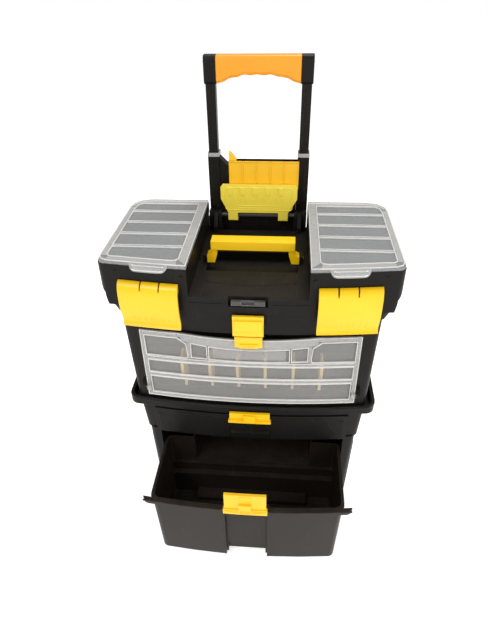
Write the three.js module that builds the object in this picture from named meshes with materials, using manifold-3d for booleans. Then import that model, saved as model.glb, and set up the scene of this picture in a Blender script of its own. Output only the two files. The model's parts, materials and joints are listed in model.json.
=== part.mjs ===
// Rolling tool box: a wheeled two-drawer base, a lift-off tool box with clear-lidded
// organisers, and a telescopic pull handle. Millimetres, +Z up, front towards -Y.

import * as THREE from 'three';
import { mergeVertices } from 'three/addons/utils/BufferGeometryUtils.js';
import Module from 'manifold-3d';

const wasm = await Module();
wasm.setup();

// ---------------------------------------------------------------- driving dimensions

const GAP = 0.35; // clearance between neighbouring pieces
const BOW = 0.00037; // forward bulge of every front face, per mm of x squared
const CENTRE_SHIFT_Y = 49.5; // moves the middle of the object's depth onto y = 0
const FLOOR_Z = -8; // the ground, in the heights used below

const LID_HALF = 220; // lid, across the shoulders
const LID_FRONT = -133;
const LID_BACK = 113;
const PARTING = 465; // where the lid meets the box
const PANEL_TOP = 490; // centre channel of the lid
const TRAY_TOP = 534; // top of the side organiser trays
const TRAY_INNER = 87; // inner side of the side trays

const BOX_HALF = 200;
const BOX_FRONT = -124;
const BOX_BACK = 116;
const BOX_BOTTOM = 262;
const BAY_HALF = 173.5; // front organiser bay
const BAY_LOW = 280;
const BAY_HIGH = 422;
const BAY_BACK = -66;
const COVER_AXIS = { y: -119, z: 303 };
const COVER_PIN_R = 2.4;
const SHELF_Z = 372; // shelf of the front organiser

const BASE_HALF = 194;
const BASE_FRONT = -117;
const BASE_BACK = 119;
const BASE_LOW = 1;
const BASE_TOP = 255;
const DRAWER_OUT = 115; // how far the lower drawer stands open

const HINGE = { y: 112, z: 513, r: 4 }; // lid hinge rod
const POST = { x: 76.25, y: 135, wide: 19.5, deep: 22, low: 17, top: 611 };
const TUBE = { wide: 15.6, deep: 17, low: 420, top: 745 };
const WHEEL = { x: 153, y: 94, z: FLOOR_Z + 55, r: 55, width: 30 };
const AXLE_R = 5;
const TYRE_INNER = 43; // where the tyre sits on the hub

// ---------------------------------------------------------------- materials

const plastic = (color, roughness = 0.5) => (
  new THREE.MeshStandardMaterial({ color, roughness, metalness: 0 })
);
const clear = () => new THREE.MeshStandardMaterial({
  color: 0xd9dcd8, roughness: 0.25, metalness: 0, transparent: true, opacity: 0.5,
});
const BLACK = 0x1b1a18;
const YELLOW = 0xffcb08;
const ORANGE = 0xf5a800;
const black = () => plastic(BLACK, 0.55);
const yellow = () => plastic(YELLOW, 0.4);
const steel = () => new THREE.MeshStandardMaterial({ color: 0xb4b6b8, roughness: 0.35, metalness: 1 });

// ---------------------------------------------------------------- solid helpers

const box = new THREE.Group();
box.position.set(0, CENTRE_SHIFT_Y, -FLOOR_Z);

function solid(geometry) {
  const bare = geometry.clone();
  bare.deleteAttribute('normal');
  bare.deleteAttribute('uv');
  const merged = mergeVertices(bare, 1e-4);
  return new wasm.Manifold(new wasm.Mesh({
    numProp: 3,
    vertProperties: new Float32Array(merged.attributes.position.array),
    triVerts: new Uint32Array(merged.index.array),
  }));
}

function piece(name, body, material) {
  const mesh = body.getMesh();
  const geometry = new THREE.BufferGeometry();
  geometry.setAttribute('position', new THREE.BufferAttribute(mesh.vertProperties, 3));
  geometry.setIndex(new THREE.BufferAttribute(mesh.triVerts, 1));
  geometry.computeVertexNormals();
  const made = new THREE.Mesh(geometry, material);
  made.name = name;
  box.add(made);
}

const join = (...parts) => parts.reduce((a, b) => a.add(b));
const cut = (body, ...tools) => tools.reduce((a, b) => a.subtract(b), body);

// an axis-aligned block from its low and high corners
function block([x0, x1], [y0, y1], [z0, z1]) {
  const g = new THREE.BoxGeometry(x1 - x0, y1 - y0, z1 - z0);
  return solid(g.translate((x0 + x1) / 2, (y0 + y1) / 2, (z0 + z1) / 2));
}

// a round bar along X
function barX(x0, x1, y, z, r, sides = 20) {
  const g = new THREE.CylinderGeometry(r, r, x1 - x0, sides).rotateZ(Math.PI / 2);
  return solid(g.translate((x0 + x1) / 2, y, z));
}

// a shape drawn in plan (x, y) and raised from z0 to z1
function raise(shape, z0, z1, curveSegments = 6) {
  const g = new THREE.ExtrudeGeometry(shape, { depth: z1 - z0, bevelEnabled: false, curveSegments });
  return solid(g.translate(0, 0, z0));
}

// a shape drawn from the front (x, z) and pushed back from y0 to y1
function pushBack(shape, y0, y1, curveSegments = 6) {
  const g = new THREE.ExtrudeGeometry(shape, { depth: y1 - y0, bevelEnabled: false, curveSegments });
  return solid(g.rotateX(Math.PI / 2).translate(0, y1, 0));
}

// a shape drawn from the side (y, z) and pushed along x from x0 to x1
function pushSide(shape, x0, x1, curveSegments = 6) {
  const g = new THREE.ExtrudeGeometry(shape, { depth: x1 - x0, bevelEnabled: false, curveSegments });
  return solid(g.rotateZ(Math.PI / 2).rotateY(Math.PI / 2).translate(x0, 0, 0));
}

// plan outline with a bowed front, rounded back corners and small front corners
function bowedPlan(half, front, back, backRadius = 20, frontRadius = 12) {
  const edge = half - frontRadius;
  const frontAt = (x) => front + BOW * x * x;
  const s = new THREE.Shape();
  s.moveTo(-edge, frontAt(edge));
  s.quadraticCurveTo(0, front - BOW * edge * edge, edge, frontAt(edge));
  s.quadraticCurveTo(half, frontAt(edge), half, frontAt(edge) + frontRadius);
  s.lineTo(half, back - backRadius);
  s.quadraticCurveTo(half, back, half - backRadius, back);
  s.lineTo(-half + backRadius, back);
  s.quadraticCurveTo(-half, back, -half, back - backRadius);
  s.lineTo(-half, frontAt(edge) + frontRadius);
  s.quadraticCurveTo(-half, frontAt(edge), -edge, frontAt(edge));
  return s;
}

// a plate that follows the bowed front, from x0 to x1, its face at `front` on the middle line
function bowedPlate([x0, x1], front, thickness, [z0, z1], steps = 6) {
  const s = new THREE.Shape();
  const at = (i) => x0 + ((x1 - x0) * i) / steps;
  for (let i = 0; i <= steps; i += 1) {
    const y = front + BOW * at(i) ** 2;
    if (i === 0) s.moveTo(at(i), y);
    else s.lineTo(at(i), y);
  }
  for (let i = steps; i >= 0; i -= 1) s.lineTo(at(i), front + thickness + BOW * at(i) ** 2);
  return raise(s, z0, z1);
}

// narrows a body towards its foot about the line x = 0, y = yMid
function taper(body, z0, z1, footScale, yMid) {
  return body.warp((v) => {
    const t = (v[2] - z0) / (z1 - z0);
    const k = footScale + (1 - footScale) * t;
    v[0] *= k;
    v[1] = yMid + (v[1] - yMid) * k;
  });
}

// a closed outline from its corner points
const polygon = (points) => new THREE.Shape(points.map(([a, b]) => new THREE.Vector2(a, b)));
const SIDES = [['left', -1], ['right', 1]];
// the stretch from a to b along X, on side s
const span = (s, a, b) => (s < 0 ? [-b, -a] : [a, b]);

// ---------------------------------------------------------------- base: shell, rim, feet

function baseShell() {
  const stepZ = 190; // the lower tier stands in by a few millimetres
  const upperTier = taper(raise(bowedPlan(BASE_HALF, BASE_FRONT, BASE_BACK), stepZ, BASE_TOP),
    stepZ, BASE_TOP, 0.975, 0);
  const lowerTier = taper(raise(bowedPlan(BASE_HALF - 9, BASE_FRONT + 1, BASE_BACK - 1), BASE_LOW, stepZ),
    BASE_LOW, stepZ, 0.96, 0);
  const upperBay = block([-168, 168], [-200, 108], [197, 252]);
  const lowerBay = block([-164, 164], [-200, 34], [4, 184]);
  const lowerBayBack = block([-116, 116], [0, 112], [4, 184]);
  const overWheels = block([-164, 164], [0, 112], [122, 184]);
  let shell = cut(join(upperTier, lowerTier), upperBay, lowerBay, lowerBayBack, overWheels);
  for (const [, s] of SIDES) {
    const wheelWell = block(span(s, 131, 260), [37, 200], [-20, 115]);
    const channel = block(span(s, 62, 90.5), [BASE_BACK - 4, 150], [8, 250]);
    const socket = block(
      span(s, POST.x - POST.wide / 2 - GAP, POST.x + POST.wide / 2 + GAP),
      [POST.y - POST.deep / 2 - GAP, POST.y + POST.deep / 2 + GAP], [14, 300],
    );
    const axleHole = barX(...span(s, 100, 140), WHEEL.y, WHEEL.z, AXLE_R + 0.4);
    shell = cut(join(cut(shell, wheelWell), channel), socket, axleHole);
  }
  piece('base_shell', shell, black());
}
baseShell();

// tray on top of the base that the box stands in
{
  const inner = bowedPlan(203, -122, 121, 22, 14);
  const deck = raise(inner, BASE_TOP + GAP, BASE_TOP + 6);
  const ring = cut(raise(bowedPlan(210, -127, 127, 28, 20), BASE_TOP + GAP, 273), raise(inner, 250, 280));
  let rim = join(ring, deck);
  for (const [, s] of SIDES) {
    rim = cut(rim, block(span(s, POST.x - 11, POST.x + 11), [POST.y - 12, 160], [240, 280]));
  }
  piece('base_rim', rim, black());
}

for (const [side, s] of SIDES) {
  const foot = block(span(s, 120, 150), [-98, -68], [FLOOR_Z, BASE_LOW - GAP]);
  piece(`front_foot_${side}`, foot, plastic(0x111111, 0.9));
}

// ---------------------------------------------------------------- wheels

piece('axle', barX(-173, 173, WHEEL.y, WHEEL.z, AXLE_R), steel());

for (const [side, s] of SIDES) {
  const ring = (outer, inner, a, b) => cut(
    barX(...span(s, a, b), WHEEL.y, WHEEL.z, outer, 40),
    barX(...span(s, a - 2, b + 2), WHEEL.y, WHEEL.z, inner, 40),
  );
  const a = WHEEL.x - WHEEL.width / 2;
  const b = WHEEL.x + WHEEL.width / 2;
  piece(`tyre_${side}`, ring(WHEEL.r, TYRE_INNER, a, b), plastic(0x141414, 0.85));
  const bore = AXLE_R + 0.3;
  let hub = join(ring(TYRE_INNER - GAP, 37, a + 1, b - 1), ring(14, bore, a, b));
  for (let i = 0; i < 6; i += 1) {
    const spoke = new THREE.BoxGeometry(14, 6, 28);
    spoke.translate(0, 0, 25.5).rotateX((i * Math.PI) / 3).translate(s * WHEEL.x, WHEEL.y, WHEEL.z);
    hub = hub.add(solid(spoke));
  }
  piece(`wheel_hub_${side}`, cut(hub, barX(...span(s, a - 4, b + 4), WHEEL.y, WHEEL.z, bore)), black());
  const cap = cut(
    barX(...span(s, b + 0.5, b + 8), WHEEL.y, WHEEL.z, 11, 28),
    barX(...span(s, b - 2, 173 + GAP), WHEEL.y, WHEEL.z, bore),
  );
  piece(`axle_cap_${side}`, cap, steel());
}

// ---------------------------------------------------------------- drawers and their latches

const LATCH_HALF = 34;

// toggle latch on a drawer front: a hooked tongue above, a thumb plate below
function drawerLatch(name, face, axisZ, tongueTop, drop) {
  const plate = join(
    bowedPlate([-LATCH_HALF, LATCH_HALF], face - 5, 4.5, [axisZ - 7, tongueTop], 4),
    bowedPlate([-36, 36], face - 6.5, 6, [axisZ - drop, axisZ - 5], 4),
    bowedPlate([-10, 10], face - 8.5, 5, [axisZ - drop + 3, axisZ + 8], 2),
    barX(-20, 20, face - 3, axisZ, 2.2, 12),
  );
  piece(name, plate, yellow());
}

const UPPER_FACE = -126;
{
  const outer = join(
    bowedPlate([-166, 166], UPPER_FACE, 5, [197.5, 251], 10),
    block([-160, 160], [-118, 84], [199, 240]),
  );
  const inside = block([-157, 157], [-108, 81], [202, 260]);
  const notch = bowedPlate([-36, 36], UPPER_FACE - 4, 6, [190, 222], 4);
  piece('upper_drawer', cut(outer, inside, notch), black());
  drawerLatch('upper_drawer_latch', UPPER_FACE - 1.7, 252, 262, 11);
}

const LOWER_FACE = BASE_FRONT - 8 - DRAWER_OUT;
{
  const front = LOWER_FACE;
  const step = front + 160;
  const back = front + 222;
  const basin = (half, inset, low, high) => taper(
    raise(bowedPlan(half, front + inset, step - inset / 2, 6, 14), low, high), low, high, 0.965, front + 80,
  );
  const floorBack = (wall, low) => block([-112 + wall, 112 - wall], [step - 8, back - wall], [low, 160]);
  const rear = cut(floorBack(0, 82), floorBack(3, 85), block([-300, 300], [-400, 400], [146, 400]));
  // rim: a wide lip along the front, narrow flanges that run inside the base along the sides
  const lipDepth = 7.6;
  const lip = raise(bowedPlan(176, front, step, 6, 16), 140, 148)
    .intersect(bowedPlate([-176, 176], front - 1, lipDepth + 1, [100, 200], 10));
  const flange = cut(
    join(raise(bowedPlan(162.5, front, step, 6, 20), 140, 148), lip),
    raise(bowedPlan(157, front + 12, 400, 6, 14), 130, 160),
    block([-300, 300], [step - 6, 400], [130, 160]),
  );
  let drawer = join(basin(161, 6, 6, 147), flange, rear);
  drawer = cut(drawer, basin(158, 9, 9, 170), floorBack(3, 85));
  // upright channel down the middle of the front, ending in an open notch at the floor
  const channelBack = join(
    bowedPlate([-40, 40], front + 7, 11, [8, 144], 4), block([-37, 37], [front + 10, front + 28], [8, 36]),
  );
  drawer = cut(join(drawer, channelBack), bowedPlate([-36, 36], front - 2, 17, [-10, 139], 4),
    block([-33, 33], [front - 20, front + 24], [-10, 32]));
  // full-width ledges up the back of the basin, and a low pad on its floor
  const stairs = join(
    block([-155, 155], [step - 22, step - 6], [8, 62]),
    block([-155, 155], [step - 12, step - 6], [60, 82]),
    block([-106, 106], [step - 44, step - 20], [8, 20]),
  ).intersect(basin(160, 8, 8, 100));
  drawer = cut(join(drawer, stairs), block([-146, 146], [step - 19, step + 6], [0, 59]),
    block([-103, 103], [step - 41, step - 10], [0, 17]));
  piece('lower_drawer', drawer, black());
  drawerLatch('lower_drawer_latch', front - GAP, 165, 195, 17);
}

// ---------------------------------------------------------------- pull handle

for (const [side, s] of SIDES) {
  const at = (wide, deep, z0, z1) => block(
    span(s, POST.x - wide / 2, POST.x + wide / 2), [POST.y - deep / 2, POST.y + deep / 2], [z0, z1],
  );
  const inner = at(TUBE.wide + 2 * GAP, TUBE.deep + 2 * GAP, 0, 900);
  piece(`lower_post_${side}`, cut(at(POST.wide, POST.deep, POST.low, POST.top), inner), black());
  piece(`post_collar_${side}`, cut(at(POST.wide + 0.4, POST.deep + 2, POST.top + GAP, 618), inner),
    plastic(0xa8a8a4, 0.5));
  const bore = at(TUBE.wide - 3, TUBE.deep - 3, 0, TUBE.top - 2);
  piece(`inner_tube_${side}`, cut(at(TUBE.wide, TUBE.deep, TUBE.low, TUBE.top), bore), black());
  const cap = cut(at(19, 24, 725, 767), at(TUBE.wide + 2 * GAP, TUBE.deep + 2 * GAP, 700, TUBE.top + GAP));
  piece(`grip_cap_${side}`, cap, black());
}

// grip with five finger waves along its underside
{
  const half = POST.x - 9.5 - GAP;
  const s = new THREE.Shape();
  s.moveTo(-half, 767);
  s.lineTo(-half, 726);
  s.lineTo(-half + 7, 728);
  const waves = 5;
  const pitch = (2 * half - 24) / waves;
  s.lineTo(-half + 12, 739);
  for (let i = 0; i < waves; i += 1) {
    const x = -half + 12 + i * pitch;
    s.quadraticCurveTo(x + pitch / 2, 733, x + pitch, 739);
  }
  s.lineTo(half - 7, 728);
  s.lineTo(half, 726);
  s.lineTo(half, 767);
  piece('grip', pushBack(s, POST.y - 12, POST.y + 12, 5), plastic(0xf2a50a, 0.5));
}

// crosspiece that ties the two posts together
{
  const half = POST.x - POST.wide / 2 - GAP;
  const beam = pushBack(polygon([
    [-half, 500], [-half + 16, 512], [-half + 16, 556], [-half + 24, 568], [half - 24, 568], [half - 16, 556],
    [half - 16, 512], [half, 500], [half, 602], [half - 8, 598], [-half + 12, 598], [-half, 610],
  ]), POST.y - POST.deep / 2, POST.y + 9);
  piece('handle_crosspiece', beam, black());
}

// ribbed catch block on the front of the crosspiece
const CATCH = { x0: -49, x1: 69, front: 109, back: POST.y - POST.deep / 2 - GAP, low: 562, high: 609 };
{
  const { x0, x1, front, back, low, high } = CATCH;
  let body = block([x0, x1], [front, back], [low, high]);
  const pitch = (x1 - x0) / 5;
  for (let i = 0; i < 5; i += 1) {
    const left = x0 + i * pitch + 1.6;
    body = body.subtract(block([left, left + pitch - 3.2], [front - 1, back - 3], [low + 6, high - 3]));
  }
  const horn = pushBack(polygon([[x0, high - 2], [x0 + 14, high - 2], [x0 + 9, high + 6], [x0, high + 14]]),
    front + 5, back);
  piece('catch_block', body.add(horn), plastic(ORANGE, 0.45));
}

// ---------------------------------------------------------------- tool box body

function boxBody() {
  const yMid = (BOX_FRONT + BOX_BACK) / 2;
  const outer = taper(raise(bowedPlan(BOX_HALF, BOX_FRONT, BOX_BACK), BOX_BOTTOM, PARTING - GAP),
    BOX_BOTTOM, PARTING, 0.968, yMid);
  const rimLow = PARTING - 19;
  const rimBand = taper(raise(bowedPlan(BOX_HALF + 11, BOX_FRONT - 3, BOX_BACK + 2), rimLow, PARTING - GAP),
    rimLow, PARTING, 0.965, 0);
  const cavity = taper(raise(bowedPlan(BOX_HALF - 3, BAY_BACK + 4, BOX_BACK - 3), BOX_BOTTOM + 4, 500),
    BOX_BOTTOM, PARTING, 0.968, yMid);
  const cavityFront = block([-186, 186], [BOX_FRONT + 12, BAY_BACK + 8], [BAY_HIGH + 4, 500]);
  const bay = block([-BAY_HALF, BAY_HALF], [-300, BAY_BACK], [BAY_LOW, BAY_HIGH]);
  let body = join(outer, rimBand);
  // small lugs beside the bay that carry the cover's pins
  for (const [, s] of SIDES) {
    const lug = pushSide(polygon([
      [COVER_AXIS.y - 4, COVER_AXIS.z - 3], [COVER_AXIS.y - 4, COVER_AXIS.z + 3],
      [COVER_AXIS.y, COVER_AXIS.z + 7], [COVER_AXIS.y + 14, COVER_AXIS.z + 12],
      [COVER_AXIS.y + 14, COVER_AXIS.z - 12], [COVER_AXIS.y, COVER_AXIS.z - 7],
    ]), ...span(s, BAY_HALF - 1, BAY_HALF + 6));
    body = body.add(lug);
  }
  body = cut(body, cavity, cavityFront, bay,
    barX(-BAY_HALF - 6.5, BAY_HALF + 6.5, COVER_AXIS.y, COVER_AXIS.z, COVER_PIN_R + 0.5, 12));
  const ledge = block([-84, 84], [97.5, BOX_BACK], [PARTING - 8, PARTING - GAP]);
  const upstand = block([-70, 70], [120.8, 123.4], [PARTING - 8, HINGE.z - 4]);
  body = join(body, ledge, upstand, block([-70, 70], [BOX_BACK - 4, 123.4], [PARTING - 8, PARTING - 3]));
  for (const [, s] of SIDES) {
    for (const [a, b] of [[64, 69.4], [77, 85.6]]) {
      const ear = polygon([[102, PARTING - 4], [102, HINGE.z], [106, HINGE.z + 8], [118, HINGE.z + 8],
        [123.4, HINGE.z + 2], [123.4, PARTING - 8], [112, PARTING - 8]]);
      body = body.add(pushSide(ear, ...span(s, a, b)));
    }
    body = body.subtract(barX(...span(s, 60, 90), HINGE.y, HINGE.z, HINGE.r + GAP));
  }
  piece('box_body', body, black());
}
boxBody();

piece('lid_hinge_rod', barX(-83.5, 83.5, HINGE.y, HINGE.z, HINGE.r), plastic(0x2a2a29, 0.4));

// ---------------------------------------------------------------- front organiser

const TRAY_FRONT = BOX_FRONT + 25;
const TRAY_LOW = BAY_LOW + 9;
{
  const half = BAY_HALF - 1;
  const tray = cut(
    block([-half, half], [TRAY_FRONT, BAY_BACK - GAP], [TRAY_LOW, BAY_HIGH - GAP]),
    block([-half + 2, half - 2], [-300, BAY_BACK - 2.4], [TRAY_LOW + 2, SHELF_Z]),
    block([-half + 2, half - 2], [-300, BAY_BACK - 2.4], [SHELF_Z + 2, BAY_HIGH - 2.4]),
  );
  piece('front_organiser_tray', tray, black());
}
const DIVIDERS = 6;
for (let i = 0; i < DIVIDERS; i += 1) {
  const x = -110 + i * 45;
  const divider = pushSide(polygon([
    [TRAY_FRONT + 1, TRAY_LOW + 2 + GAP], [BAY_BACK - 3, TRAY_LOW + 2 + GAP], [BAY_BACK - 3, SHELF_Z - GAP],
    [TRAY_FRONT + 1, SHELF_Z - 12],
  ]), x - 1, x + 1);
  piece(`organiser_divider_${i + 1}`, divider, plastic(0xe9dca4, 0.6));
}

const COVER_FACE = BOX_FRONT - 4.5;
{
  const half = BAY_HALF - 1.5;
  const low = BAY_LOW + 4.5;
  const top = BAY_HIGH - 1.5;
  const sheet = bowedPlate([-half, half], COVER_FACE + 1.8, 2.2, [low, top], 12);
  const rib = (x0, x1, z0, z1) => block([x0, x1], [-200, -60], [z0, z1]);
  // the upper edge dips towards the middle, below the centre latch
  const dip = block([-30, 30], [-200, -60], [top - 6.5, top + 9])
    .add(pushBack(polygon([[-100, top + 1], [-29, top - 6.5], [-29, top + 9], [-100, top + 9]]), -200, -60))
    .add(pushBack(polygon([[100, top + 1], [100, top + 9], [29, top + 9], [29, top - 6.5]]), -200, -60));
  const ribs = bowedPlate([-half, half], COVER_FACE, 2.6, [low, top], 12).intersect(join(
    rib(-half, half, 329, 334), rib(-half, half, 363, 369), rib(-half, half, low, low + 5),
    rib(-half, -half + 5, low, top), rib(half - 5, half, low, top),
    rib(-97, -91, 368, top), rib(91, 97, 368, top), rib(-half, half, 412, top), rib(-100, 100, 400, 415),
    rib(-66, -63, 368, 402), rib(63, 66, 368, 402),
  ));
  const trunnions = barX(-BAY_HALF - 5, BAY_HALF + 5, COVER_AXIS.y, COVER_AXIS.z, COVER_PIN_R, 12)
    .subtract(block([-half + 8, half - 8], [-200, 0], [200, 400]));
  const arms = join(...[-1, 1].map((s) => block(
    span(s, half - 8, half), [COVER_FACE + 2, COVER_AXIS.y + 2], [COVER_AXIS.z - 3, COVER_AXIS.z + 3],
  )));
  piece('front_organiser_cover', join(cut(join(sheet, ribs), dip), arms, trunnions), clear());
}

const CLIP_FACE = COVER_FACE - GAP;
piece('front_organiser_clip', join(
  bowedPlate([-21, 21], CLIP_FACE - 5, 5, [404, 424], 4),
  bowedPlate([-14, 14], CLIP_FACE - 7, 3, [404, 411], 2),
), yellow());

// ---------------------------------------------------------------- lid

const BAIL = { y: -14, z: 496, r: 2.3 }; // pivot of the carry handle
const LID_WALL = 2.2;
const TRAY_FLOOR = 490; // bottom of the pocket that each organiser tray drops into
const CELLS = [-112, -69, -26, 16, 59, LID_BACK]; // front to back: cell walls of a tray

// plan outline of the lid, drawn in by `inset`
function lidPlan(inset, z0, z1) {
  return raise(bowedPlan(LID_HALF - inset, LID_FRONT + inset, LID_BACK - inset, 36 - inset, 14), z0, z1);
}

function boxLid() {
  const profile = new THREE.Shape();
  profile.moveTo(-211, PARTING + GAP);
  profile.lineTo(211, PARTING + GAP);
  profile.quadraticCurveTo(LID_HALF - 6, PARTING + 10, LID_HALF - 6, PARTING + 20);
  profile.quadraticCurveTo(LID_HALF, PARTING + 28, LID_HALF, PARTING + 38);
  profile.lineTo(LID_HALF, TRAY_TOP);
  profile.lineTo(TRAY_INNER, TRAY_TOP);
  profile.lineTo(TRAY_INNER, PANEL_TOP);
  profile.lineTo(-TRAY_INNER, PANEL_TOP);
  profile.lineTo(-TRAY_INNER, TRAY_TOP);
  profile.lineTo(-LID_HALF, TRAY_TOP);
  profile.lineTo(-LID_HALF, PARTING + 38);
  profile.quadraticCurveTo(-LID_HALF, PARTING + 28, -LID_HALF + 6, PARTING + 20);
  profile.quadraticCurveTo(-LID_HALF + 6, PARTING + 10, -211, PARTING + GAP);
  const outer = pushBack(profile, -300, 300).intersect(lidPlan(0, 400, 600));
  const under = raise(bowedPlan(197, LID_FRONT + 14, LID_BACK - 6, 30, 12), 400, PANEL_TOP - 3);
  let lid = cut(outer, under);
  for (const [side, s] of SIDES) {
    const pocket = block(span(s, TRAY_INNER + LID_WALL, LID_HALF), [CELLS[0] - 3, LID_BACK],
      [TRAY_FLOOR, 600])
      .intersect(lidPlan(LID_WALL, TRAY_FLOOR, 600));
    lid = lid.subtract(pocket);
    let tray = block(span(s, TRAY_INNER + LID_WALL + GAP, LID_HALF), [CELLS[0] - 3 + GAP, LID_BACK],
      [TRAY_FLOOR + GAP, TRAY_TOP]).intersect(lidPlan(LID_WALL + GAP, TRAY_FLOOR, TRAY_TOP));
    for (let i = 0; i < 5; i += 1) {
      const cell = block(span(s, TRAY_INNER + 4, LID_HALF), [CELLS[i] + 1, CELLS[i + 1] - 1], [493, 600]);
      tray = tray.subtract(cell.intersect(lidPlan(4.5, 490, 600)));
    }
    piece(`organiser_tray_${side}`, tray, black());
  }
  // behind the centre panel the lid stops short of the hinge rod
  lid = cut(lid, block([-86, 86], [97, 200], [400, 600]));
  // hollow for fingers in front of the carry handle, notch for the lock bar
  const hollow = block([-72, 72], [-51, 14], [PANEL_TOP - 15, 600]);
  const hollowFloor = block([-75, 75], [-54, 17], [PANEL_TOP - 18, PANEL_TOP - 2]);
  const lockNotch = block([-29, 29], [-200, LID_FRONT + 10], [PARTING + 12, 600]);
  lid = cut(join(lid, hollowFloor), hollow);
  const lockHousing = block([-34, 34], [LID_FRONT + 4, LID_FRONT + 18], [PARTING + 8, PANEL_TOP]);
  lid = cut(join(lid, lockHousing), lockNotch);
  for (const [, s] of SIDES) {
    const arm = polygon([[86, PANEL_TOP - 2], [86, PANEL_TOP + 10], [104, HINGE.z + 7], [118, HINGE.z + 7],
      [119, HINGE.z - 8], [98, PANEL_TOP - 2]]);
    lid = lid.add(pushSide(arm, ...span(s, 69.9, 76.5)));
    lid = lid.subtract(barX(...span(s, 60, 90), HINGE.y, HINGE.z, HINGE.r + GAP));
    // lugs that carry the carry handle
    const lug = block(span(s, 73, 79), [-24, -4], [PANEL_TOP - 4, PANEL_TOP + 12]);
    lid = cut(lid.add(lug), barX(...span(s, 60, 90), BAIL.y, BAIL.z, BAIL.r + 0.3, 14));
  }
  piece('box_lid', lid, black());
}
boxLid();

// grey lock bar in the notch at the front of the lid
piece('lock_bar', cut(
  block([-25, 25], [LID_FRONT + 1, LID_FRONT + 9], [PARTING + 13, PARTING + 20]),
  block([-9, 9], [LID_FRONT - 2, LID_FRONT + 5], [PARTING + 15, PARTING + 30]),
), plastic(0x6d6d6a, 0.5));

// clear organiser lids, hinged along their back edge
for (const [side, s] of SIDES) {
  const outline = raise(bowedPlan(LID_HALF - 1, LID_FRONT + 1, LID_BACK - 1, 35, 14), TRAY_TOP + GAP, 539);
  const plate = outline.intersect(block(span(s, TRAY_INNER, LID_HALF), [-200, 200], [500, 560]));
  let lid = cut(plate,
    raise(bowedPlan(LID_HALF - 5, LID_FRONT + 5, LID_BACK - 5, 31, 12), TRAY_TOP, 537)
      .intersect(block(span(s, TRAY_INNER + 4, LID_HALF), [-200, 200], [500, 560])));
  for (const y of CELLS.slice(1, 5)) {
    lid = lid.add(block(span(s, TRAY_INNER + 6, LID_HALF - 9), [y - 1.5, y + 1.5], [536.5, 540]));
  }
  const tab = join(
    bowedPlate(span(s, 121, 162), LID_FRONT - 7, 11, [TRAY_TOP + 1.5, 538], 4),
    bowedPlate(span(s, 124, 159), LID_FRONT - 9, 4, [TRAY_TOP - 0.5, 537], 4),
  );
  piece(`organiser_lid_${side}`, lid.add(tab), clear());
}

// ---------------------------------------------------------------- latches and carry handle

const LATCH_AXIS_Z = 497;
for (const [side, s] of SIDES) {
  const section = new THREE.Shape();
  const y = LID_FRONT - 1;
  section.moveTo(y, LATCH_AXIS_Z + 6);
  section.quadraticCurveTo(y - 10, LATCH_AXIS_Z + 6, y - 11, LATCH_AXIS_Z - 8);
  section.quadraticCurveTo(y - 12, 462, y - 6, 446);
  section.lineTo(y - 9, 437);
  section.lineTo(y - 6.5, 436);
  section.lineTo(y - 2.5, 446);
  section.quadraticCurveTo(y - 8, 462, y - 7.5, LATCH_AXIS_Z - 10);
  section.lineTo(y, LATCH_AXIS_Z - 4);
  const bent = pushSide(section, ...span(s, 100, 190), 5).warp((v) => {
    v[1] += BOW * v[0] * v[0];
  });
  piece(`side_latch_${side}`, bent, yellow());
}

{
  const face = LID_FRONT - 1;
  piece('centre_latch', join(
    bowedPlate([-23, 23], face - 5, 5, [429, 464], 4),
    bowedPlate([-21, 21], face - 8, 4, [440, 458], 4),
  ), yellow());
}

piece('carry_handle', join(
  block([-70, 70], [-27, -4], [508, 528]),
  ...[-1, 1].map((s) => block(span(s, 60, 70), [-22, -6], [489, 510])),
  barX(-78, -65, BAIL.y, BAIL.z, BAIL.r, 14),
  barX(65, 78, BAIL.y, BAIL.z, BAIL.r, 14),
), plastic(0xffc400, 0.4));

// hook plate that clips the box to the handle frame
{
  let plate = pushBack(polygon([
    [-64, 566], [-60, 571], [64, 571], [68, 566], [68, 545], [53, 520], [-52, 520], [-64, 545],
  ]), 103, 107.5);
  for (const x of [-43.5, 44.5]) {
    const leg = polygon([
      [103, 524], [103, 506], [108, 503], [116, 503], [119, 508], [119, 517], [107.5, 524],
    ]);
    plate = plate.add(pushSide(leg, x - 8.5, x + 8.5));
  }
  plate = cut(plate, barX(-60, 60, HINGE.y, HINGE.z, HINGE.r + GAP));
  for (let i = 0; i < 5; i += 1) {
    plate = plate.add(block([-52 + i * 22, -44 + i * 22], [101.5, 104], [552, 566]));
  }
  piece('hook_plate', plate, plastic(0xffdf3a, 0.4));
}

export default box;
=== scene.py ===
import json
import math

import bmesh
import bpy
from mathutils import Matrix, Vector


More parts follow.
